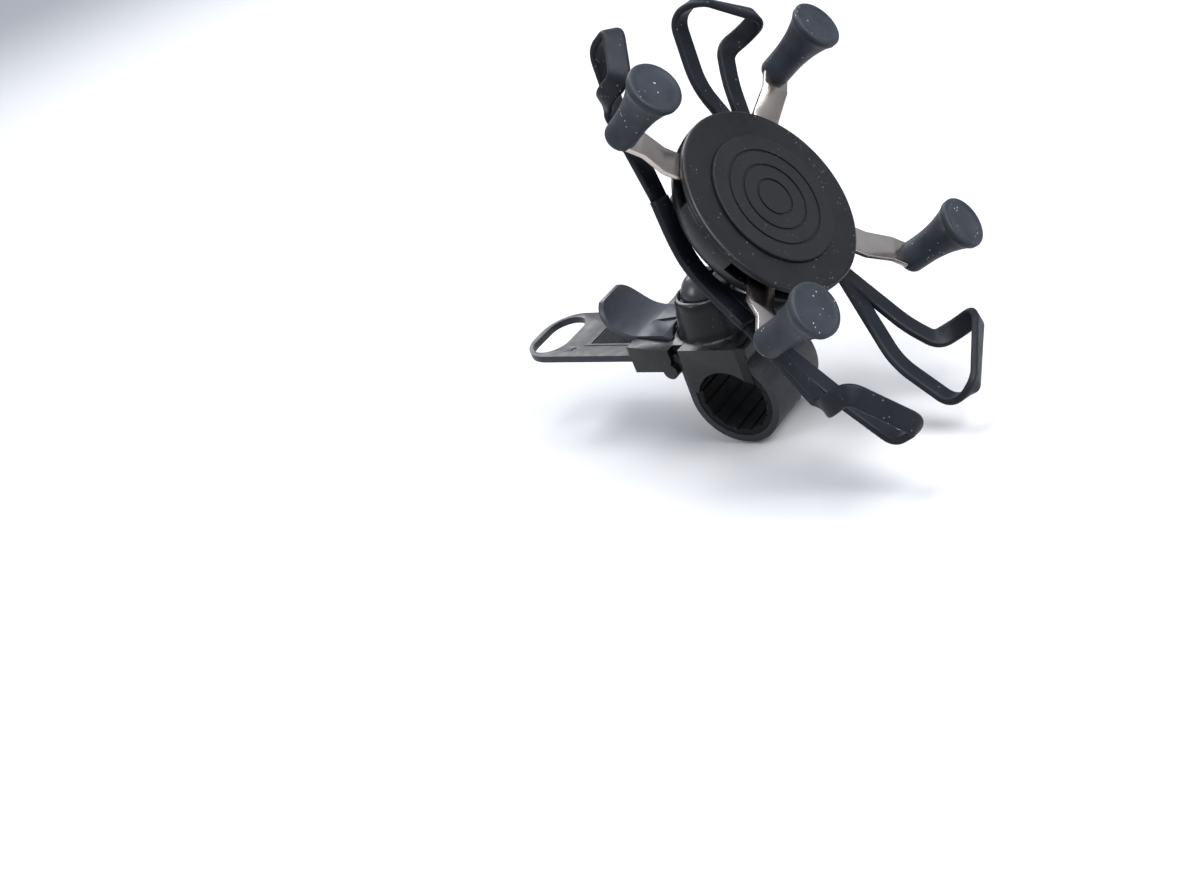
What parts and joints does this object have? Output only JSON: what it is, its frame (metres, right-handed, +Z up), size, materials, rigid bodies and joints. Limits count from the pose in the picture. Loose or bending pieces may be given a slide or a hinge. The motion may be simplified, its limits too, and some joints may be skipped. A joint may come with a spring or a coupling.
{
  "type": "bicycle phone mount",
  "caption": "Bicycle phone mount: strap clamp for a handlebar, ball joint, round hub with spring-loaded crossed steel arms, rubber posts and a rubber corner tether.",
  "frame": {"origin": "centre of the handlebar clamp, on the handlebar's axis", "axes": "+X along the handlebar, +Y forwards along the strap's free end, +Z up through the ball cup"},
  "size_m": [0.1089, 0.1588, 0.1392],
  "materials": {
    "housing_plastic": "satin",
    "lever_plastic": "satin",
    "strap_plastic": "satin",
    "seat_plastic": "matte",
    "hub_plastic": "satin",
    "liner_rubber": "matte",
    "ball_rubber": "satin",
    "pad_rubber": "matte",
    "cap_rubber": "matte",
    "tether_rubber": "matte",
    "arm_steel": "polished",
    "bright_steel": "satin",
    "spring_steel": "satin",
    "dark_metal": "satin"
  },
  "bodies": {
    "base": {"base_housing": "housing_plastic", "saddle_plate": "housing_plastic", "saddle_screws": "bright_steel", "seat_spring": "spring_steel", "bar_liner": "liner_rubber", "clamp_strap": "strap_plastic", "anchor_pin": "bright_steel", "lever_pin": "bright_steel", "lever_spring": "spring_steel"},
    "seat": {"ball_seat": "seat_plastic"},
    "skin": {"ball_skin": "ball_rubber"},
    "holder": {"ball_stud": "dark_metal", "mount_plate": "dark_metal", "plate_screws": "bright_steel", "plate_nuts": "bright_steel", "hub_back_shell": "hub_plastic", "hub_front_cover": "hub_plastic", "face_pad": "pad_rubber", "hub_screws": "bright_steel", "pivot_pin": "bright_steel", "pivot_washers": "seat_plastic", "arm_spring": "spring_steel", "tether": "tether_rubber"},
    "front_arm": {"arm_a": "arm_steel", "cap_top_left": "cap_rubber", "cap_bottom_right": "cap_rubber"},
    "rear_arm": {"arm_b": "arm_steel", "cap_top_right": "cap_rubber", "cap_bottom_left": "cap_rubber"},
    "lever": {"release_lever": "lever_plastic", "lever_pawl": "bright_steel"}
  },
  "joints": [
    {"name": "ball_swivel", "type": "hinge", "parent": "base", "child": "seat", "pos_m": [0, 0.0067, 0.0308], "axis": [0, 0, 1], "range_deg": [-90, 90]},
    {"name": "ball_tilt", "type": "hinge", "parent": "seat", "child": "skin", "pos_m": [0, 0.0067, 0.0308], "axis": [0.9989, 0.0471, 0], "range_deg": [-80, 3]},
    {"name": "ball_roll", "type": "hinge", "parent": "skin", "child": "holder", "pos_m": [0, 0.0067, 0.0308], "axis": [0.04, -0.848, 0.5284], "continuous": true},
    {"name": "arm_b_turn", "type": "hinge", "parent": "holder", "child": "rear_arm", "pos_m": [0.00316, -0.02176, 0.0568], "axis": [0.04, -0.848, 0.5284], "range_deg": [-12.5, 2.5], "stiffness_Nm_per_rad": 0.25, "springref_deg": 34.38},
    {"name": "arm_a_turn", "type": "hinge", "parent": "holder", "child": "front_arm", "pos_m": [0.00316, -0.02176, 0.0568], "axis": [0.04, -0.848, 0.5284], "range_deg": [-2.5, 12.5], "stiffness_Nm_per_rad": 0.25, "springref_deg": -34.38},
    {"name": "lever_lift", "type": "hinge", "parent": "base", "child": "lever", "pos_m": [0, 0.0223, 0.0188], "axis": [1, 0, 0], "range_deg": [0, 12], "stiffness_Nm_per_rad": 0.4, "springref_deg": -11.46}
  ],
  "couplings": [
    {"joint": "arm_a_turn", "follows": "arm_b_turn", "ratio": -1}
  ]
}
